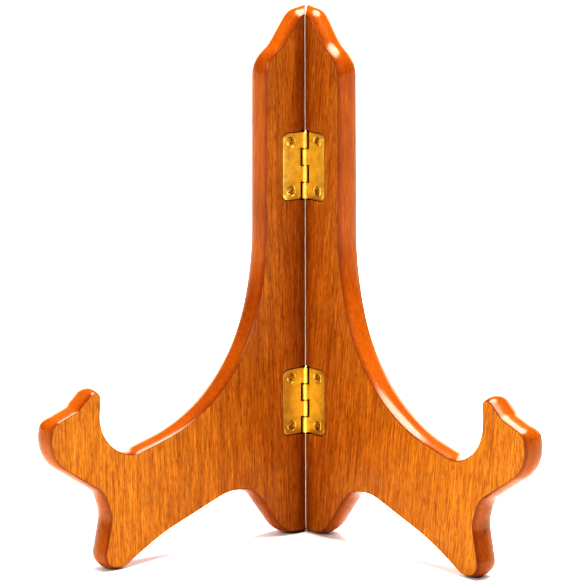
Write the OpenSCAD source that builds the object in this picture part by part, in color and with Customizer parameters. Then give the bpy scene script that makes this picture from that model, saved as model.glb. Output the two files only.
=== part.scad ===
// Folding display stand that holds up a plate or a small picture.
// Two mirror-image boards open like a book on two butt hinges, and the hooks on their arms carry the plate.
// The hinge line is vertical, X runs across the stand, and the arms reach towards -Y.
// The origin is on the ground, at the middle of the stand's footprint box.

/* [Stand] */
// Height of the boards' tips
stand_h = 202.5; // [190:0.5:240]
// Angle between the inner faces when the stand is in use
open_angle = 96; // [60:1:98]
// Thickness of each board
board_t = 9.5; // [9:0.5:12]
// Amount that the rim stands out past the edge of each face
rim_bulge = 1.2; // [0.8:0.1:1.4]
// Depth from each face over which the rim is rounded
rim_round = 3.4; // [2.5:0.1:3.8]
// Angle that the spine edges are bevelled by, which stops the stand from opening further
spine_bevel = 39; // [36.5:0.5:40.5]
// Width of the upright neck
neck_w = 19; // [18.5:0.5:21]
// Gap between the inner faces when the stand is folded flat
folded_gap = 0.5; // [0.4:0.1:1]
// Distance from the hinge line to the front of each spine edge
spine_setback = 0.05; // [0.05:0.05:0.2]

/* [Arm] */
// Furthest reach of the arm from its spine edge
arm_reach = 117; // [115:0.5:120]
// Height of the hook's tip
hook_h = 70.3; // [68.3:0.5:74.3]
// Distance from the spine edge to the hook's inner side
hook_in = 91.8; // [91.5:0.1:92.5]
// Height of the lowest point of the plate cup
cup_floor_h = 43.9; // [42:0.1:44.5]

/* [Feet] */
// Distance from the spine edge to the toe of the front foot
toe_out = 94; // [93:0.5:96]
// Distance from the spine edge to the heel of the front foot
heel_in = 83; // [82:0.5:84]
// Height of the arch between the feet
arch_h = 21.3; // [20:0.1:22.5]
// Width of the foot under the spine
spine_foot_w = 9.7; // [9.5:0.1:11]

/* [Hinges] */
// Height of each hinge
hinge_h = 25.4; // [24:0.1:28]
// Height of the lower hinge's bottom end
lower_hinge_z = 39.5; // [36:0.5:50]
// Distance from the boards' top down to the upper hinge's bottom end
upper_hinge_drop = 72.6; // [62.6:0.5:82.6]
// Width of one leaf from the pin's centre
leaf_w = 10.2; // [9.8:0.1:11]
// Thickness of a leaf
leaf_t = 1; // [0.9:0.1:1.2]
// Radius of a leaf's outer corners
leaf_r = 2.5; // [1:0.1:3]
// Outer diameter of the knuckles
knuckle_d = 2.6; // [2.5:0.1:3]
// Diameter of the hinge pin
pin_d = 1.3; // [1.2:0.1:1.4]
// Number of knuckles in one hinge
knuckles = 4; // [3:1:5]

/* [Screws] */
// Diameter of a screw's head
head_d = 4; // [3.6:0.1:4.4]
// Diameter of a screw's shank
shank_d = 2; // [1.6:0.1:2.2]
// Length of a screw
screw_len = 7; // [5:0.5:7.5]
// Distance from the pin's centre to the screws
screw_out = 6.4; // [6.2:0.1:6.7]
// Distance from a leaf's end to the nearer screw
screw_in = 3.4; // [3:0.1:5]

/* [Hidden] */
// Running clearance round the pin in the knuckles that turn on it
pin_gap = 0.05;
// Clearance between neighbouring knuckles, and round a leaf in its mortise
knuckle_gap = 0.3;
mortise_gap = 0.25;
// Clearance between a turning knuckle and the wood or leaf behind it
turning_gap = 0.5;
// Depth that a screw's head lies below the leaf's face, and its clearance in the countersink
head_sink = 0.05;
sink_gap = 0.1;
// Width and depth of the cross recess
recess_w = 0.55;
recess_depth = 0.55;
// Small bevel on the brass edges
bevel = 0.2;
// Arcs are cut into steps of at most this angle and this length
arc_step = 12;
arc_chord = 4;
// Steps in the rounding of the rim beside one face
rim_steps = 3;
// How much more the first edges of the outline, at the tip, are rounded than the rest
tip_swell = [2, 1.9, 1.3];
// Slope of the top edge, which falls away from the spine
tip_slope = 0.2;
// Smallest radius left at a corner when an outline is moved inwards
min_corner_r = 0.35;
// Amount that a cutter reaches past the surface it opens
past = 1;

$fn = 48;
board_color = "#c8641e";
brass_color = "#d9a84a";
steel_brass_color = "#b98a3a";

// Each board turns this far forward from the X axis
swing = (180 - open_angle) / 2;
face_y = folded_gap / 2;
upper_hinge_z = stand_h - upper_hinge_drop;
knuckle_h = (hinge_h - (knuckles - 1) * knuckle_gap) / knuckles;
knuckle_pitch = knuckle_h + knuckle_gap;
leaf_notch_x = knuckle_d / 2 + turning_gap;
leaf_root_x = 0.2;
// The left leaf holds the odd knuckles counted from the top, and the right leaf holds the even ones
left_knuckles = [for (k = [knuckles - 1 : -2 : 0]) k];
right_knuckles = [for (k = [knuckles - 2 : -2 : 0]) k];

// Amount that the top edge has fallen where it passes the hinge line, as it is highest at the back of the spine edge
tip_fall = tip_slope * (board_t - rim_round) * tan(spine_bevel);

// Outline of the right board's face: [distance from the spine edge, height, corner radius].
// It runs clockwise from the top of the spine edge, and the spine edge closes it.
board_outline = [
  [0, stand_h - tip_fall, 0],
  [3.2, stand_h - tip_fall - 3.2 * tip_slope, 7], // tip
  [neck_w - 6.8, stand_h - 14, 14],               // hollow under the tip
  [neck_w - 0.5, stand_h - 18.9, 12],             // shoulder
  [neck_w, 104, 109],                             // foot of the neck
  [neck_w + 13.9, 56.2, 61],                      // hollow of the flank
  [hook_in - 13.8, cup_floor_h, 7],               // cup, inner side
  [hook_in + 1.2, cup_floor_h + 2.6, 15.2],       // cup, outer side
  [hook_in, hook_h, 3.4],                         // hook's tip, inner corner
  [hook_in + 5.7, hook_h - 1, 5],                 // hook's tip, outer corner
  [hook_in + 11.7, hook_h - 6.4, 6],              // hook's back
  [arm_reach - 2.1, hook_h - 10.6, 5.7],          // lobe, upper corner
  [arm_reach, hook_h - 24.4, 14.2],               // lobe, lower corner
  [toe_out - 1.4, 29.6, 9.6],                     // ankle
  [toe_out - 4.4, 20.5, 10],                      // instep
  [toe_out, 0, 6],                                // toe
  [heel_in, 0, 5],                                // heel
  [heel_in - 17.2, 9.8, 90],                      // arch, outer end
  [34.8, arch_h, 20],                             // arch, top
  [24.5, arch_h - 1.3, 11],                       // arch, inner end
  [spine_foot_w, 0, 12],                          // foot under the spine
  [0, 0, 0]
];

// ---- Plane geometry ----

function cross2(a, b) = a[0] * b[1] - a[1] * b[0];
function unit(v) = v / norm(v);
function turned(v, a) = [v[0] * cos(a) - v[1] * sin(a), v[0] * sin(a) + v[1] * cos(a)];
function flat2(c) = [c[0], c[1]];
// Normal that points into a clockwise outline from an edge that runs along d
function inward(d) = [d[1], -d[0]];
// Where the line through p along d crosses the line through q along e
function meet(p, d, q, e) = p + d * cross2(q - p, e) / cross2(d, e);

// Direction of the edge that leaves corner i
function edge_dir(c, i) = unit(flat2(c[(i + 1) % len(c)]) - flat2(c[i]));

// Corner i of a clockwise outline as an arc, with the edge before it moved inwards by a and the edge after it by b,
// and the radius changed to match. The number of steps depends only on the outline itself.
function corner_points(c, i, a, b) =
  let (
    n = len(c),
    p = flat2(c[i]),
    din = edge_dir(c, (i + n - 1) % n),
    dout = edge_dir(c, i),
    turn = atan2(cross2(din, dout), din * dout),
    r = c[i][2],
    steps = ceil(max(abs(turn) / arc_step, abs(turn) * PI / 180 * r / arc_chord)),
    q = meet(p + inward(din) * a, din, p + inward(dout) * b, dout)
  )
  r == 0 ? [q] :
  let (
    new_r = turn < 0 ? max(r - max(a, b), min_corner_r) : r + max(a, b),
    start = q - din * new_r * tan(abs(turn) / 2),
    centre = start + inward(din) * new_r * (turn < 0 ? 1 : -1)
  )
  [for (k = [0 : steps]) centre + turned(start - centre, turn * k / steps)];

// The outline with its edges moved inwards by inset, times swell where that lists a factor for an edge.
// The edge that closes the outline moves by closing instead.
function edge_inset(inset, swell, i) = inset * (i < len(swell) ? swell[i] : 1);
function ring(c, inset, closing = 0, swell = []) =
  let (last = len(c) - 1)
  [
    for (i = [0 : last])
      each corner_points(
        c, i,
        i == 0 ? closing : edge_inset(inset, swell, i - 1),
        i == last ? closing : edge_inset(inset, swell, i)
      )
  ];

// Ear clipping, which cuts a clockwise outline into triangles
function in_triangle(p, a, b, c) =
  cross2(b - a, p - a) <= 0 && cross2(c - b, p - b) <= 0 && cross2(a - c, p - c) <= 0;
function is_ear(pts, left, i) =
  let (
    n = len(left),
    ia = left[(i + n - 1) % n],
    ib = left[i],
    ic = left[(i + 1) % n]
  )
  cross2(pts[ib] - pts[ia], pts[ic] - pts[ib]) < 0 &&
  len([
    for (j = left)
      if (j != ia && j != ib && j != ic && in_triangle(pts[j], pts[ia], pts[ib], pts[ic])) j
  ]) == 0;
function next_ear(pts, left, i) = is_ear(pts, left, i) ? i : next_ear(pts, left, i + 1);
function without(list, i) = [for (k = [0 : len(list) - 1]) if (k != i) list[k]];
function clipped(pts, left, done) =
  len(left) == 3 ? concat(done, [left]) :
  let (
    n = len(left),
    i = next_ear(pts, left, 0),
    ear = [left[(i + n - 1) % n], left[i], left[(i + 1) % n]]
  )
  clipped(pts, without(left, i), concat(done, [ear]));
function triangles(pts) = clipped(pts, [for (i = [0 : len(pts) - 1]) i], []);

// ---- Slabs: outlines in the X-Z plane with shaped edges, running back from Y = 0 ----

// profile lists [inset, depth, closing edge's inset] from the front face to the back face
module slab(outline, profile, swell = []) {
  rings = [for (s = profile) ring(outline, s[0], s[2], swell)];
  n = len(rings[0]);
  last = len(profile) - 1;
  points = [for (k = [0 : last]) for (p = rings[k]) [p[0], profile[k][1], p[1]]];
  sides = [
    for (k = [0 : last - 1])
      for (i = [0 : n - 1])
        let (a = k * n + i, b = k * n + (i + 1) % n)
        each [[a, b + n, b], [a, a + n, b + n]]
  ];
  front = triangles(rings[0]);
  back = [for (t = triangles(rings[last])) [for (i = [2 : -1 : 0]) t[i] + last * n]];
  polyhedron(points = points, faces = concat(front, sides, back));
}

// A board's rim is an arc beside each face and flat between them, and its spine edge slopes back past the hinge line
rim_r = (pow(rim_round, 2) + pow(rim_bulge, 2)) / (2 * rim_bulge);
rim_turn = asin(rim_round / rim_r);
rim_arc = [
  for (k = [0 : rim_steps])
    let (a = rim_turn * (1 - k / rim_steps))
    [rim_r * (1 - cos(a)), rim_round - rim_r * sin(a)]
];
rim = concat(rim_arc, [for (k = [rim_steps : -1 : 0]) [rim_arc[k][0], board_t - rim_arc[k][1]]]);
board_profile = [for (s = rim) [s[0], s[1], -s[1] * tan(spine_bevel)]];
leaf_profile = [[bevel, 0, 0], [0, bevel, 0], [0, leaf_t, 0]];

// ---- Placing: parts are drawn round the hinge line, with the board along +X and its back towards +Y ----

// Furthest forward and back that the stand reaches from the hinge line
board_places = [
  for (s = board_profile)
    for (p = ring(board_outline, s[0], s[2], tip_swell))
      turned([p[0] + spine_setback, s[1] + face_y], -swing)
];
front_y = min([for (p = board_places) p[1]]);
back_y = max([for (p = board_places) p[1]]);
hinge_y = -(front_y + back_y) / 2;

module right_side() {
  translate([0, hinge_y, 0]) rotate([0, 0, -swing]) children();
}

module left_side() {
  mirror([1, 0, 0]) right_side() children();
}

// ---- Boards ----

module leaf_mortise(z) {
  corners = [
    [-past, hinge_h + mortise_gap, 0],
    [leaf_w + mortise_gap, hinge_h + mortise_gap, leaf_r + mortise_gap],
    [leaf_w + mortise_gap, -mortise_gap, leaf_r + mortise_gap],
    [-past, -mortise_gap, 0]
  ];
  translate([0, face_y + leaf_t, z])
    rotate([90, 0, 0])
      linear_extrude(leaf_t + past)
        polygon(ring(corners, 0));
  translate([0, 0, z - knuckle_gap - mortise_gap])
    cylinder(r = knuckle_d / 2 + turning_gap, h = hinge_h + 2 * (knuckle_gap + mortise_gap));
  for (s = screw_heights())
    translate([screw_out, face_y, z + s])
      rotate([-90, 0, 0])
        cylinder(d = shank_d, h = screw_len);
}

module board() {
  difference() {
    translate([spine_setback, face_y, 0]) slab(board_outline, board_profile, tip_swell);
    leaf_mortise(upper_hinge_z);
    leaf_mortise(lower_hinge_z);
  }
}

module left_board() {
  color(board_color) left_side() board();
}

module right_board() {
  color(board_color) right_side() board();
}

// ---- Hinges ----

function screw_heights() = [hinge_h - screw_in, screw_in];
function knuckle_z(k) = k * knuckle_pitch;

// Corners of a tongue that runs into knuckle k, from the bottom up
function tongue(k) =
  let (low = knuckle_z(k), high = low + knuckle_h)
  concat(
    k == 0 ? [] : [[leaf_notch_x, low, 0]],
    [[leaf_root_x, low, 0], [leaf_root_x, high, 0]],
    k == knuckles - 1 ? [] : [[leaf_notch_x, high, 0]]
  );

// Clockwise corners of a leaf. The root of its highest tongue closes the outline.
function leaf_corners(own) =
  let (
    highest = max(own),
    low = knuckle_z(highest),
    high = low + knuckle_h
  )
  concat(
    [[leaf_root_x, high, 0]],
    highest == knuckles - 1 ? [] : [[leaf_notch_x, high, 0], [leaf_notch_x, hinge_h, 0]],
    [[leaf_w, hinge_h, leaf_r], [leaf_w, 0, leaf_r]],
    min(own) == 0 ? [] : [[leaf_notch_x, 0, 0]],
    [for (k = [min(own) : 2 : highest - 1]) each tongue(k)],
    [[leaf_notch_x, low, 0], [leaf_root_x, low, 0]]
  );

// own lists this leaf's knuckles, and bore_d is the hole through them
module leaf(own, bore_d) {
  difference() {
    union() {
      translate([0, face_y, 0]) slab(leaf_corners(own), leaf_profile);
      for (k = own)
        translate([0, 0, knuckle_z(k)])
          cylinder(d = knuckle_d, h = knuckle_h);
    }
    translate([0, 0, -past]) cylinder(d = bore_d, h = hinge_h + 2 * past);
    for (s = screw_heights())
      translate([screw_out, face_y, s])
        rotate([-90, 0, 0])
          countersink();
  }
}

// The hole for one screw: a cone down to a clearance hole
module countersink() {
  cone_h = (head_d - shank_d) / 2;
  mouth_r = head_d / 2 + sink_gap;
  translate([0, 0, -past]) cylinder(r = shank_d / 2 + sink_gap, h = leaf_t + 2 * past);
  translate([0, 0, -sink_gap]) cylinder(r1 = mouth_r + sink_gap, r2 = mouth_r - cone_h, h = cone_h + sink_gap);
}

module left_leaf(z) {
  color(brass_color) left_side() translate([0, 0, z]) leaf(left_knuckles, pin_d);
}

module right_leaf(z) {
  color(brass_color) right_side() translate([0, 0, z]) leaf(right_knuckles, pin_d + 2 * pin_gap);
}

module hinge_pin(z) {
  color(steel_brass_color)
    translate([0, hinge_y, z])
      rotate_extrude()
        polygon([
          [0, 0], [pin_d / 2 - bevel, 0], [pin_d / 2, bevel],
          [pin_d / 2, hinge_h - bevel], [pin_d / 2 - bevel, hinge_h], [0, hinge_h]
        ]);
}

// ---- Screws ----

// A countersunk wood screw with a cross recess, driven along +Z with its head's top at Z = 0
module screw() {
  cone_h = (head_d - shank_d) / 2;
  tip_h = shank_d;
  difference() {
    rotate_extrude()
      polygon([
        [0, 0], [head_d / 2, 0], [shank_d / 2, cone_h],
        [shank_d / 2, screw_len - tip_h], [0, screw_len - head_sink]
      ]);
    for (a = [0, 90])
      rotate([0, 0, a])
        translate([-head_d * 0.3, -recess_w / 2, -past])
          cube([head_d * 0.6, recess_w, past + recess_depth]);
  }
}

module leaf_screw(z, s) {
  translate([screw_out, face_y + head_sink, z + s]) rotate([-90, 0, 0]) screw();
}

module left_screw(z, s) {
  color(steel_brass_color) left_side() leaf_screw(z, s);
}

module right_screw(z, s) {
  color(steel_brass_color) right_side() leaf_screw(z, s);
}

left_board();
right_board();
left_leaf(upper_hinge_z);  // upper_left_leaf
right_leaf(upper_hinge_z);  // upper_right_leaf
left_leaf(lower_hinge_z);  // lower_left_leaf
right_leaf(lower_hinge_z);  // lower_right_leaf
hinge_pin(upper_hinge_z);  // upper_hinge_pin
hinge_pin(lower_hinge_z);  // lower_hinge_pin
left_screw(upper_hinge_z, screw_heights()[0]);  // upper_left_top_screw
left_screw(upper_hinge_z, screw_heights()[1]);  // upper_left_bottom_screw
right_screw(upper_hinge_z, screw_heights()[0]);  // upper_right_top_screw
right_screw(upper_hinge_z, screw_heights()[1]);  // upper_right_bottom_screw
left_screw(lower_hinge_z, screw_heights()[0]);  // lower_left_top_screw
left_screw(lower_hinge_z, screw_heights()[1]);  // lower_left_bottom_screw
right_screw(lower_hinge_z, screw_heights()[0]);  // lower_right_top_screw
right_screw(lower_hinge_z, screw_heights()[1]);  // lower_right_bottom_screw
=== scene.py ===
import math

import bmesh
import bpy
from mathutils import Matrix, Vector


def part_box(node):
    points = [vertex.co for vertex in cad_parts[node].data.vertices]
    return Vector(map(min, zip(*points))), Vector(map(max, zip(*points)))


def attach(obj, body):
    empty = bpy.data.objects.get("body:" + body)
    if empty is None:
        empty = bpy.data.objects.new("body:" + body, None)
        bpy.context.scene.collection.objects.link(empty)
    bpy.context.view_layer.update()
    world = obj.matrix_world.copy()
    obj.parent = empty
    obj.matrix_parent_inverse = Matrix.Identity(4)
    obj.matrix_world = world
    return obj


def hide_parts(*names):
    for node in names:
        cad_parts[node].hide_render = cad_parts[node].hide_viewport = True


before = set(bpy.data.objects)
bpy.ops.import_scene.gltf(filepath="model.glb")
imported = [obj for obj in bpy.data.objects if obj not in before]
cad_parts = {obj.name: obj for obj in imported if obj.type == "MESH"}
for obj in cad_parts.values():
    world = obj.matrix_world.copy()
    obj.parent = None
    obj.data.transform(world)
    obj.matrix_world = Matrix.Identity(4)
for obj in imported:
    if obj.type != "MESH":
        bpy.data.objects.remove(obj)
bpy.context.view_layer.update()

MM = 0.001

# ---- Sizes, in millimetres, as the CAD model has them ----

BOARD_T = 9.5
RIM_BULGE = 1.2
SPINE_BEVEL = 39
FACE_Y = 0.25
SETBACK = 0.05
SWING = 42
HINGE_H = 25.4
HINGE_BOTTOMS = {"upper": 129.9, "lower": 39.5}
LEAF_W = 10.2
LEAF_T = 1
LEAF_R = 2.5
LEAF_ROOT = 0.2
KNUCKLE_R = 1.3
KNUCKLES = 4
PIN_R = 0.65
HEAD_R = 2
SHANK_R = 1
SCREW_LEN = 7
SCREW_OUT = 6.4
SCREW_IN = 3.4
HEAD_SINK = 0.05
MORTISE_GAP = 0.25
KNUCKLE_GAP = 0.3
TURNING_GAP = 0.5
SINK_GAP = 0.1
# The hinge line stands over the middle of the pins
pin_low, pin_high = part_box("upper_hinge_pin")
HINGE_Y = (pin_low.y + pin_high.y) / 2

# Board outline: distance from the spine edge, height, corner radius, clockwise from the top of the spine
OUTLINE = [
    (0, 201.51, 0),
    (3.2, 200.87, 7),
    (12.2, 188.5, 14),
    (18.5, 183.6, 12),
    (19, 104, 109),
    (32.9, 56.2, 61),
    (78, 43.9, 7),
    (93, 46.5, 15.2),
    (91.8, 70.3, 3.4),
    (97.5, 69.3, 5),
    (103.5, 63.9, 6),
    (114.9, 59.7, 5.7),
    (117, 45.9, 14.2),
    (92.6, 29.6, 9.6),
    (89.6, 20.5, 10),
    (94, 0, 6),
    (83, 0, 5),
    (65.8, 9.8, 90),
    (34.8, 21.3, 20),
    (24.5, 20, 11),
    (9.7, 0, 12),
    (0, 0, 0),
]
# How much more the first edges of the outline, at the tip, are rounded than the rest
TIP_SWELL = (2, 1.9, 1.3)
ARC_STEP = 4
ARC_CHORD = 1.5
RIM_STEPS = 16
MIN_CORNER_R = 0.35
# Size of the small rounding where a face meets the rim
ARRIS = 0.3
# Points closer than this, in metres, are one point
SMALLEST = 1e-6
# How far a cutter reaches past what it cuts
PAST = 1
# Size of the small rounding on the edges of the brass leaves and knuckles
LEAF_EDGE = 0.16
PIN_CLEARANCE = 0.05
# Half length, half width and depth of the cross recess, and how much it tapers
RECESS_WING = 1.25
RECESS_HALF_W = 0.3
RECESS_DEPTH = 0.55
RECESS_TAPER = 0.06
# How far below the middle of its head a screw's rim lies
DOME = 0.24
# Which of a board's materials a polygon has
ON_FACE, ON_RIM, IN_MORTISE, ON_SPINE = range(4)


# ---- Outlines ----

def inward(d):
    return Vector((d.y, -d.x))


def cross2(a, b):
    return a.x * b.y - a.y * b.x


def corner_points(corners, i, before, after):
    """Corner i of a clockwise outline as an arc, with the edges beside it moved inwards."""
    n = len(corners)
    p, q, s = (Vector(corners[k % n][:2]) for k in (i - 1, i, i + 1))
    r = corners[i][2]
    din, dout = (q - p).normalized(), (s - q).normalized()
    a, b = q + inward(din) * before, q + inward(dout) * after
    tip = a + din * (cross2(b - a, dout) / cross2(din, dout))
    if r == 0:
        return [tip]
    turn = math.atan2(cross2(din, dout), din.dot(dout))
    steps = math.ceil(max(math.degrees(abs(turn)) / ARC_STEP, abs(turn) * r / ARC_CHORD))
    move = max(before, after)
    new_r = max(r - move, MIN_CORNER_R) if turn < 0 else r + move
    start = tip - din * new_r * math.tan(abs(turn) / 2)
    centre = start + inward(din) * (new_r if turn < 0 else -new_r)
    turns = (Matrix.Rotation(turn * k / steps, 2) for k in range(steps + 1))
    return [centre + t @ (start - centre) for t in turns]


def ring(corners, inset, closing, swell):
    """The outline moved inwards: its last edge by closing, the rest by inset times any factor in swell."""
    last = len(corners) - 1
    moves = [inset * (swell[i] if i < len(swell) else 1) for i in range(last)] + [closing]
    points = []
    for i in range(last + 1):
        points += corner_points(corners, i, moves[i - 1], moves[i])
    return points


# ---- Meshes ----

def new_object(name, verts, faces):
    """A closed mesh from points in millimetres, with its faces turned outwards."""
    shell = bmesh.new()
    points = [shell.verts.new(Vector(v) * MM) for v in verts]
    for f in faces:
        shell.faces.new([points[i] for i in f])
    bmesh.ops.recalc_face_normals(shell, faces=shell.faces)
    mesh = bpy.data.meshes.new(name)
    shell.to_mesh(mesh)
    shell.free()
    piece = bpy.data.objects.new(name, mesh)
    bpy.context.scene.collection.objects.link(piece)
    return piece


def slab(name, corners, profile, side, shift=(0, 0, 0), swell=()):
    """A closed slab whose profile lists (inset, depth, closing edge's inset) from its front face back."""
    rings = [ring(corners, inset, closing, swell) for inset, depth, closing in profile]
    n = len(rings[0])
    verts = [
        (side * (p.x + shift[0]), depth + shift[1], p.y + shift[2])
        for points, (inset, depth, closing) in zip(rings, profile)
        for p in points
    ]
    faces = [list(range(n)), list(range(n * (len(rings) - 1), n * len(rings)))]
    for k in range(len(rings) - 1):
        for i in range(n):
            j = (i + 1) % n
            faces.append([k * n + j, k * n + i, (k + 1) * n + i, (k + 1) * n + j])
    return new_object(name, verts, faces)


def turned(name, profile, centre, upright, steps=48):
    """A closed turned body with flat ends, whose profile lists (radius, distance along the axis)."""
    verts = []
    for radius, along in profile:
        for k in range(steps):
            a, b = radius * math.cos(math.tau * k / steps), radius * math.sin(math.tau * k / steps)
            x, y, z = (a, b, along) if upright else (a, along, b)
            verts.append((x + centre[0], y + centre[1], z + centre[2]))
    last = len(profile) - 1
    faces = [list(range(steps)), list(range(last * steps, (last + 1) * steps))]
    for k in range(last):
        for i in range(steps):
            j = (i + 1) % steps
            faces.append([k * steps + i, k * steps + j, (k + 1) * steps + j, (k + 1) * steps + i])
    return new_object(name, verts, faces)


def applied(piece):
    """The piece with its modifiers made real."""
    graph = bpy.context.evaluated_depsgraph_get()
    mesh = bpy.data.meshes.new_from_object(piece.evaluated_get(graph))
    piece.modifiers.clear()
    piece.data = mesh
    return piece


def combine(piece, operation, *others):
    """Joins the others to the piece, or cuts them from it."""
    for other in others:
        m = piece.modifiers.new("combine", "BOOLEAN")
        m.operation = operation
        m.solver = "EXACT"
        m.object = other
    applied(piece)
    for other in others:
        bpy.data.objects.remove(other)


def cleaned(piece):
    """Splits faces of many corners, and removes the faces without area that a cut leaves."""
    shell = bmesh.new()
    shell.from_mesh(piece.data)
    bmesh.ops.remove_doubles(shell, verts=shell.verts, dist=SMALLEST)
    bmesh.ops.triangulate(shell, faces=[f for f in shell.faces if len(f.verts) > 4])
    bmesh.ops.dissolve_degenerate(shell, edges=shell.edges, dist=SMALLEST)
    shell.to_mesh(piece.data)
    shell.free()


def shade(piece, sharp_deg=35):
    """Smooth shading that keeps flat faces flat and hard edges hard."""
    piece.data.shade_smooth()
    piece.data.set_sharp_from_angle(angle=math.radians(sharp_deg))
    m = piece.modifiers.new("normals", "WEIGHTED_NORMAL")
    m.keep_sharp = True
    m.weight = 100
    applied(piece)


def place(piece, side, stands_for, slot, *materials, own=Matrix()):
    """Puts a piece drawn round the hinge line where its board stands, in place of a CAD node."""
    mesh = piece.data
    # Its grain follows the piece as it was drawn
    drawn = mesh.attributes.new("drawn_at", "FLOAT_VECTOR", "POINT")
    drawn.data.foreach_set("vector", [c for v in mesh.vertices for c in v.co / MM])
    stand = Matrix.Translation((0, HINGE_Y, 0)) @ Matrix.Rotation(math.radians(-SWING * side), 4, "Z")
    mesh.transform(stand @ own)
    for material in materials:
        mesh.materials.append(material)
    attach(piece, "left_half" if side < 0 else "right_half")
    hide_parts(stands_for)


# ---- Boards ----

def board_profile():
    """The rim is one shallow arc, and its corners at the faces are slightly rounded."""
    radius = ((BOARD_T / 2) ** 2 + RIM_BULGE ** 2) / (2 * RIM_BULGE)
    corner = [
        (RIM_BULGE + 0.6 * ARRIS, 0),
        (RIM_BULGE + 0.15 * ARRIS, 0.08 * ARRIS),
        (RIM_BULGE - 0.2 * ARRIS, 0.45 * ARRIS),
    ]
    depths = [ARRIS + (BOARD_T - 2 * ARRIS) * k / RIM_STEPS for k in range(RIM_STEPS + 1)]
    arc = [(radius - math.sqrt(radius ** 2 - (BOARD_T / 2 - depth) ** 2), depth) for depth in depths]
    pairs = corner + arc + [(inset, BOARD_T - depth) for inset, depth in reversed(corner)]
    slope = math.tan(math.radians(SPINE_BEVEL))
    return [(inset, depth, -depth * slope) for inset, depth in pairs]


def mortise_cutters(z, side):
    low, high = -MORTISE_GAP, HINGE_H + MORTISE_GAP
    corners = [
        (-PAST, high, 0),
        (LEAF_W + MORTISE_GAP, high, LEAF_R + MORTISE_GAP),
        (LEAF_W + MORTISE_GAP, low, LEAF_R + MORTISE_GAP),
        (-PAST, low, 0),
    ]
    pocket = slab("pocket", corners, [(0, -PAST, 0), (0, FACE_Y + LEAF_T, 0)], side, (0, 0, z))
    radius = KNUCKLE_R + TURNING_GAP
    relief = turned("relief", [(radius, low - KNUCKLE_GAP), (radius, high + KNUCKLE_GAP)], (0, 0, z), True)
    return pocket, relief


def board(name, side, *woods):
    """woods are the materials of the faces, the rim, the mortises and the spine edge, in that order."""
    piece = slab(name + "_finished", OUTLINE, board_profile(), side, (SETBACK, FACE_Y, 0), TIP_SWELL)
    for z in HINGE_BOTTOMS.values():
        combine(piece, "DIFFERENCE", *mortise_cutters(z, side))
    mark_rim(piece)
    shade(piece)
    mark_woods(piece, side)
    place(piece, side, name, "varnished_wood", *woods)


def mark_woods(piece, side):
    """Gives each polygon the wood of the part of the board that it lies on."""
    piece.data.materials.clear()
    for polygon in piece.data.polygons:
        x, y, z = polygon.center / MM
        on_face = abs(polygon.normal.y) > 0.999 and min(y - FACE_Y, FACE_Y + BOARD_T - y) < 0.01
        in_mortise = any(abs(z - low - HINGE_H / 2) < HINGE_H / 2 + 1 for low in HINGE_BOTTOMS.values())
        cut_in = in_mortise and FACE_Y < y < 2 * LEAF_T and abs(x) < LEAF_W + 1
        on_spine = side * polygon.normal.x < -0.6 and side * x < SETBACK
        if on_face:
            polygon.material_index = ON_FACE
        elif cut_in:
            polygon.material_index = IN_MORTISE
        else:
            polygon.material_index = ON_SPINE if on_spine else ON_RIM


def mark_rim(piece):
    """Stores how far each point lies into the rim from the nearer face, in millimetres."""
    depths = [v.co.y / MM - FACE_Y for v in piece.data.vertices]
    mark = piece.data.attributes.new("rim_depth", "FLOAT", "POINT")
    mark.data.foreach_set("value", [max(min(depth, BOARD_T - depth), 0) for depth in depths])


# ---- Hinges and screws ----

def knuckle_span(k):
    height = (HINGE_H - (KNUCKLES - 1) * KNUCKLE_GAP) / KNUCKLES
    low = k * (height + KNUCKLE_GAP)
    return low, low + height


def leaf_corners(own):
    """Clockwise corners of a leaf that holds the knuckles listed, from its highest tongue round to it."""
    notch = KNUCKLE_R + TURNING_GAP
    corners = [(LEAF_W, HINGE_H, LEAF_R), (LEAF_W, 0, LEAF_R)]
    if min(own) > 0:
        corners.append((notch, 0, 0))
    for k in sorted(own):
        low, high = knuckle_span(k)
        corners += [(notch, low, 0)] if k > 0 else []
        corners += [(LEAF_ROOT, low, 0), (LEAF_ROOT, high, 0)]
        corners += [(notch, high, 0)] if k < KNUCKLES - 1 else []
    if max(own) < KNUCKLES - 1:
        corners.append((notch, HINGE_H, 0))
    return corners


def leaf(name, z, side, own, bore, material):
    edge = LEAF_EDGE
    profile = [(edge, 0, edge), (0.3 * edge, 0.3 * edge, 0.3 * edge), (0, edge, 0), (0, LEAF_T, 0)]
    piece = slab(name + "_finished", leaf_corners(own), profile, side, (0, FACE_Y, z))
    for k in own:
        low, high = knuckle_span(k)
        barrel = [
            (KNUCKLE_R - edge, low),
            (KNUCKLE_R, low + edge),
            (KNUCKLE_R, high - edge),
            (KNUCKLE_R - edge, high),
        ]
        combine(piece, "UNION", turned("knuckle", barrel, (0, 0, z), True))
    cutters = [turned("bore", [(bore, -PAST), (bore, HINGE_H + PAST)], (0, 0, z), True)]
    mouth, hole = HEAD_R + SINK_GAP, SHANK_R + SINK_GAP
    for s in (HINGE_H - SCREW_IN, SCREW_IN):
        cone = [(mouth + PAST, -PAST), (mouth, 0), (hole, HEAD_R - SHANK_R), (hole, LEAF_T + PAST)]
        cutters.append(turned("countersink", cone, (side * SCREW_OUT, FACE_Y, z + s), False))
    combine(piece, "DIFFERENCE", *cutters)
    cleaned(piece)
    shade(piece)
    piece.data.materials.clear()
    place(piece, side, name, "brass", material)


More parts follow.
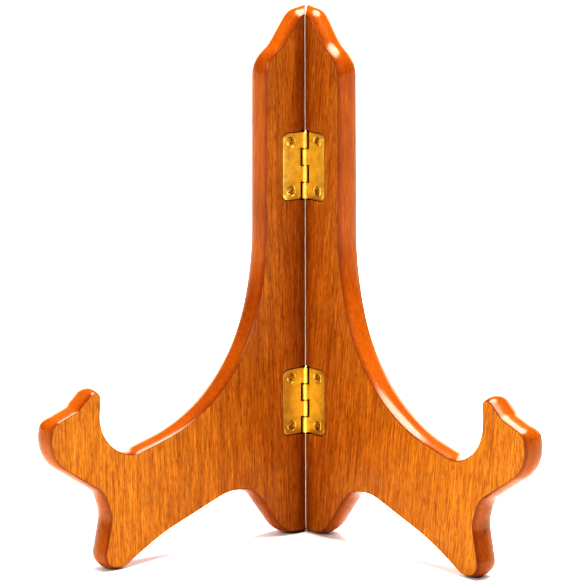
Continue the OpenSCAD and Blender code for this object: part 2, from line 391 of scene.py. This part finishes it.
def screw(name, z, side, turn_deg, material):
    """A countersunk screw with a slightly domed head and a cross recess."""
    head = [(0.3, -0.1), (1.0, -0.06), (1.6, 0.03), (1.9, 0.12), (HEAD_R, DOME)]
    shaft = [
        (SHANK_R, HEAD_R - SHANK_R + DOME),
        (SHANK_R, SCREW_LEN - 2 * SHANK_R),
        (0.1, SCREW_LEN - 2 * HEAD_SINK),
    ]
    piece = turned(name + "_finished", head + shaft, (0, 0, 0), False)
    profile = [(0, -PAST, 0), (RECESS_TAPER, RECESS_DEPTH, RECESS_TAPER)]
    for a, b in ((RECESS_WING, RECESS_HALF_W), (RECESS_HALF_W, RECESS_WING)):
        corners = [(-a, b, 0), (a, b, 0), (a, -b, 0), (-a, -b, 0)]
        combine(piece, "DIFFERENCE", slab("recess", corners, profile, 1))
    cleaned(piece)
    shade(piece)
    piece.data.materials.clear()
    at = Matrix.Translation(Vector((side * SCREW_OUT, FACE_Y + HEAD_SINK, z)) * MM)
    turn = Matrix.Rotation(math.radians(turn_deg), 4, "Y")
    place(piece, side, name, "brass_screw", material, own=at @ turn)


# ---- Materials ----

class Nodes:
    """A small helper that keeps node graphs readable."""

    def __init__(self, name):
        self.material = bpy.data.materials.new(name)
        self.material.use_nodes = True
        self.tree = self.material.node_tree
        self.shader = self.tree.nodes["Principled BSDF"]

    def link(self, value, socket):
        if isinstance(value, bpy.types.NodeSocket):
            self.tree.links.new(value, socket)
        else:
            socket.default_value = value

    def node(self, kind, inputs=(), **settings):
        made = self.tree.nodes.new("ShaderNode" + kind)
        for key, value in settings.items():
            setattr(made, key, value)
        for key, value in dict(inputs).items():
            self.link(value, made.inputs[key])
        return made

    def set(self, **inputs):
        for key, value in inputs.items():
            self.link(value, self.shader.inputs[key.replace("_", " ")])

    def place(self, scale, turn_deg=0, shift=(0, 0, 0)):
        """The piece's own coordinates in millimetres, turned in the face plane, then scaled."""
        coords = self.node("Attribute", attribute_name="drawn_at").outputs["Vector"]
        turned = self.node("Mapping", {"Vector": coords, "Rotation": (0, math.radians(turn_deg), 0)})
        placed = self.node("Mapping", {"Vector": turned.outputs[0], "Scale": scale, "Location": shift})
        return placed.outputs[0]

    def noise(self, vector, detail=2, rough=0.5):
        return self.node("TexNoise", {
            "Vector": vector, "Scale": 1, "Detail": detail, "Roughness": rough, "Distortion": 0,
        }).outputs["Fac"]

    def ramp(self, value, *stops):
        """stops are (position, colour or grey level)."""
        made = self.node("ValToRGB", {"Fac": value})
        ramp = made.color_ramp
        while len(ramp.elements) < len(stops):
            ramp.elements.new(0.5)
        for element, (position, level) in zip(ramp.elements, stops):
            element.position = position
            colour = level if isinstance(level, tuple) else (level,) * 3
            element.color = (*colour, 1)
        return made.outputs["Color"]

    def span(self, value, low, high, to_low=0, to_high=1):
        return self.node("MapRange", {
            "Value": value, "From Min": low, "From Max": high, "To Min": to_low, "To Max": to_high,
        }).outputs["Result"]

    def math(self, kind, a, b=0.0):
        made = self.node("Math", operation=kind)
        self.link(a, made.inputs[0])
        self.link(b, made.inputs[1])
        return made.outputs[0]

    def mix(self, fac, a, b, blend="MIX"):
        made = self.node("Mix", data_type="RGBA", blend_type=blend)
        self.link(fac, made.inputs["Factor"])
        for value, socket in ((a, made.inputs[6]), (b, made.inputs[7])):
            self.link((*value, 1) if isinstance(value, tuple) and len(value) == 3 else value, socket)
        return made.outputs[2]

    def bump(self, height, distance_mm, strength):
        made = self.node("Bump", {"Height": height, "Distance": distance_mm * MM, "Strength": strength})
        return made.outputs[0]


def veneer(name, side, lean_deg, shift, tone):
    """Stained veneer with fine upright grain under a thin satin varnish."""
    m = Nodes(name)
    # The stain is darkest beside the spine and up the neck, and goldenest out on the arms; the darkening
    # toward the spine is partly a real stain and partly painted shade of the crease between the boards
    out = m.node("SeparateXYZ", {"Vector": m.place((side, 1, 1))}).outputs["X"]
    stain_and_shade_fade = m.span(out, 2, 88)
    # Broad streaks of lighter and darker wood that run up the board
    streaks = m.noise(m.place((0.22, 0.22, 0.008), lean_deg, shift), detail=3, rough=0.6)
    dark_stain_and_shade = m.ramp(streaks, (0.3, (0.29, 0.096, 0.013)), (0.7, (0.39, 0.140, 0.019)))
    gold_stain = m.ramp(streaks, (0.3, (0.44, 0.168, 0.016)), (0.7, (0.54, 0.220, 0.020)))
    # Partly painted shade: the darker colour is mixed in toward the crease at the spine
    colour = m.mix(1.0, m.mix(stain_and_shade_fade, dark_stain_and_shade, gold_stain), (tone, tone, tone), "MULTIPLY")
    # Fine fibres, then short dark pores
    fibres = m.noise(m.place((2.3, 2.3, 0.09), lean_deg, shift), detail=3, rough=0.7)
    shades = m.ramp(fibres, (0.34, (0.64, 0.54, 0.46)), (0.66, (1.22, 1.28, 1.35)))
    colour = m.mix(1.0, colour, shades, "MULTIPLY")
    # Painted shade: the colour darkens over the last 5 mm beside the spine, in the crease where the two
    # boards meet
    colour = m.mix(m.span(out, 0.3, 5, 0.5, 0.0), colour, (0.10, 0.018, 0.002))
    pores = m.noise(m.place((3.5, 3.5, 0.3), lean_deg, shift), detail=2, rough=0.6)
    pore_mask = m.span(pores, 0.5, 0.66)
    colour = m.mix(m.math("MULTIPLY", pore_mask, 0.55), colour, (0.13, 0.02, 0.002))
    normal = m.bump(m.math("SUBTRACT", 1.0, pore_mask), 0.02, 0.6)
    m.set(Base_Color=colour, Roughness=0.5, Normal=normal, Coat_Normal=normal)
    m.set(Coat_Weight=0.35, Coat_Roughness=0.3, Coat_IOR=1.5, Specular_IOR_Level=0.0)
    return m.material


def edge_wood(name, shift):
    """Stained solid edges under a thick glossy varnish, with painted shade in the corner beside each face.
    """
    m = Nodes(name)
    tone = m.noise(m.place((0.05, 0.05, 0.03), 0, shift), detail=2)
    colour = m.ramp(tone, (0.35, (0.285, 0.074, 0.005)), (0.65, (0.36, 0.101, 0.008)))
    fibres = m.noise(m.place((1.7, 1.7, 0.12), 0, shift), detail=3, rough=0.7)
    shades = m.ramp(fibres, (0.34, (0.82, 0.76, 0.7)), (0.66, (1.12, 1.18, 1.25)))
    colour = m.mix(1.0, colour, shades, "MULTIPLY")
    depth = m.node("Attribute", attribute_name="rim_depth").outputs["Fac"]
    # Painted shade: the rim darkens within 1.8 mm of each face
    colour = m.mix(m.span(depth, 0.0, 1.8, 0.6, 0.0), colour, (0.12, 0.022, 0.002))
    wave = m.noise(m.place((0.35, 0.35, 0.25), 0, shift), detail=2)
    normal = m.bump(wave, 0.02, 0.4)
    m.set(Base_Color=colour, Roughness=0.5, Normal=normal, Coat_Normal=normal)
    m.set(Coat_Weight=0.62, Coat_Roughness=0.22, Coat_IOR=1.5, Specular_IOR_Level=0.0)
    return m.material


def shaded_mortise_wood(name):
    """Bare wood in the hinge mortises, painted very dark as the shade inside the recess."""
    m = Nodes(name)
    grain = m.noise(m.place((0.8, 0.8, 0.1)), detail=3)
    # Painted shade: a near-black colour for the inside of the recess
    colour = m.ramp(grain, (0.3, (0.035, 0.010, 0.004)), (0.7, (0.07, 0.02, 0.006)))
    m.set(Base_Color=colour, Roughness=0.8)
    m.set(Specular_IOR_Level=0.1)
    return m.material


def spine_wood(name):
    """The bevelled spine edges, thinly varnished."""
    m = Nodes(name)
    grain = m.noise(m.place((0.8, 0.8, 0.05)), detail=3)
    colour = m.ramp(grain, (0.3, (0.33, 0.105, 0.024)), (0.7, (0.42, 0.140, 0.034)))
    m.set(Base_Color=colour, Roughness=0.6)
    m.set(Coat_Weight=0.6, Coat_Roughness=0.3, Coat_IOR=1.5, Specular_IOR_Level=0.0)
    return m.material


def brass(name, colour, roughness, patina, metal=1.0):
    """Lightly brushed brass, darker in patches."""
    m = Nodes(name)
    brushed = m.noise(m.place((0.6, 0.6, 6.0)), detail=3)
    cloud = m.noise(m.place((0.35, 0.35, 0.35)), detail=3, rough=0.6)
    dull = tuple(c * k for c, k in zip(colour, (0.62, 0.5, 0.4)))
    tone = m.mix(m.span(cloud, 0.4, 0.75, 0.0, patina), colour, dull)
    rough = m.span(brushed, 0.3, 0.7, roughness * 0.8, roughness * 1.2)
    m.set(Base_Color=tone, Metallic=metal, Roughness=rough)
    m.set(Normal=m.bump(brushed, 0.01, 0.4))
    return m.material


# ---- The stand ----

leaf_brass = brass("leaf_brass", (0.71, 0.505, 0.135), 0.36, 0.6, 0.9)
pin_brass = brass("pin_brass", (0.9, 0.64, 0.22), 0.25, 0.2)
screw_brass = brass("screw_brass", (0.60, 0.42, 0.11), 0.3, 0.5, 0.95)
screw_turns = iter((20, 62, 8, 40, 75, 30, 52, 15))
boards = (-1, "left", 1, (0, 0, 0), 0.98), (1, "right", -6, (31, 7, 13), 1.04)
for side, name, lean_deg, shift, tone in boards:
    wood = (
        veneer(name + "_veneer", side, lean_deg, shift, tone),
        edge_wood(name + "_edge_wood", shift),
        shaded_mortise_wood(name + "_shaded_mortise_wood"),
        spine_wood(name + "_spine_wood"),
    )
    board(name + "_board", side, *wood)
    own, bore = ((3, 1), PIN_R) if side < 0 else ((2, 0), PIN_R + PIN_CLEARANCE)
    for level, z in HINGE_BOTTOMS.items():
        leaf(f"{level}_{name}_leaf", z, side, own, bore, leaf_brass)
        for end, s in (("top", HINGE_H - SCREW_IN), ("bottom", SCREW_IN)):
            screw(f"{level}_{name}_{end}_screw", z + s, side, next(screw_turns), screw_brass)
for level in HINGE_BOTTOMS:
    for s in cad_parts[level + "_hinge_pin"].material_slots:
        s.material = pin_brass


# ---- Stage: floor, light and camera ----

def aim(thing, target):
    thing.rotation_mode = "QUATERNION"
    thing.rotation_quaternion = (Vector(target) - thing.location).to_track_quat("-Z", "Y")


def floor():
    """A pale floor with a painted glow that grows far out, so that its end never shows."""
    half = 15
    mesh = bpy.data.meshes.new("floor")
    corners = [(-half, -half, 0), (half, -half, 0), (half, half, 0), (-half, half, 0)]
    mesh.from_pydata(corners, [], [(0, 1, 2, 3)])
    piece = bpy.data.objects.new("floor", mesh)
    bpy.context.scene.collection.objects.link(piece)
    m = Nodes("floor_white")
    m.set(Base_Color=(0.95, 0.95, 0.95, 1), Roughness=0.7, Specular_IOR_Level=0.2)
    spot = m.node("TexCoord").outputs["Object"]
    reach = m.node("VectorMath", {0: spot}, operation="LENGTH").outputs["Value"]
    # Painted glow: the floor emits light from 0.9 m out, rising to a strength of 0.9 at 2.2 m
    m.set(Emission_Color=(1, 1, 1, 1), Emission_Strength=m.span(reach, 0.9, 2.2, 0.0, 0.9))
    mesh.materials.append(m.material)


def softbox(name, position, size, power, target=(0, 0, 0.1)):
    light = bpy.data.lights.new(name, "AREA")
    light.shape = "RECTANGLE"
    light.size, light.size_y = size
    light.energy = power
    lamp = bpy.data.objects.new(name, light)
    lamp.location = position
    bpy.context.scene.collection.objects.link(lamp)
    aim(lamp, target)
    return lamp


def studio():
    world = bpy.data.worlds.new("studio")
    bpy.context.scene.world = world
    world.use_nodes = True
    world.node_tree.nodes["Background"].inputs["Color"].default_value = (1, 0.98, 0.96, 1)
    world.node_tree.nodes["Background"].inputs["Strength"].default_value = 0.16
    softbox("overhead", (0.22, 0.08, 1.35), (1.1, 0.8), 35).data.shape = "ELLIPSE"
    softbox("backdrop", (0, 2.4, 0.7), (4.0, 1.4), 70, (0, 0, 0.3))
    softbox("left_front", (-0.9, -1.3, 0.9), (0.7, 0.7), 12)
    softbox("right_front", (1.0, -1.2, 0.9), (0.7, 0.7), 1.5)
    view = bpy.context.scene.view_settings
    view.view_transform = "Standard"
    view.look = "Very High Contrast"
    view.exposure = -0.1


def camera():
    """A long lens a little to the right of the front, aimed slightly beside the hinge line."""
    distance, azimuth, elevation = 1.4192, math.radians(5.02), math.radians(11.72)
    pan, tilt, roll = (math.radians(a) for a in (0.224, -0.216, 0.1))
    target = Vector((0, HINGE_Y, 0.1))
    back = Vector((
        math.sin(azimuth) * math.cos(elevation),
        -math.cos(azimuth) * math.cos(elevation),
        math.sin(elevation),
    ))
    data = bpy.data.cameras.new("camera")
    data.sensor_width = 36
    data.lens = 233.3
    data.clip_end = 50
    cam = bpy.data.objects.new("camera", data)
    bpy.context.scene.collection.objects.link(cam)
    facing = (-back).to_track_quat("-Z", "Y").to_matrix().to_4x4()
    turn = Matrix.Rotation(pan, 4, "Y") @ Matrix.Rotation(tilt, 4, "X") @ Matrix.Rotation(-roll, 4, "Z")
    cam.matrix_world = Matrix.Translation(target + back * distance) @ facing @ turn
    bpy.context.scene.camera = cam


floor()
studio()
camera()
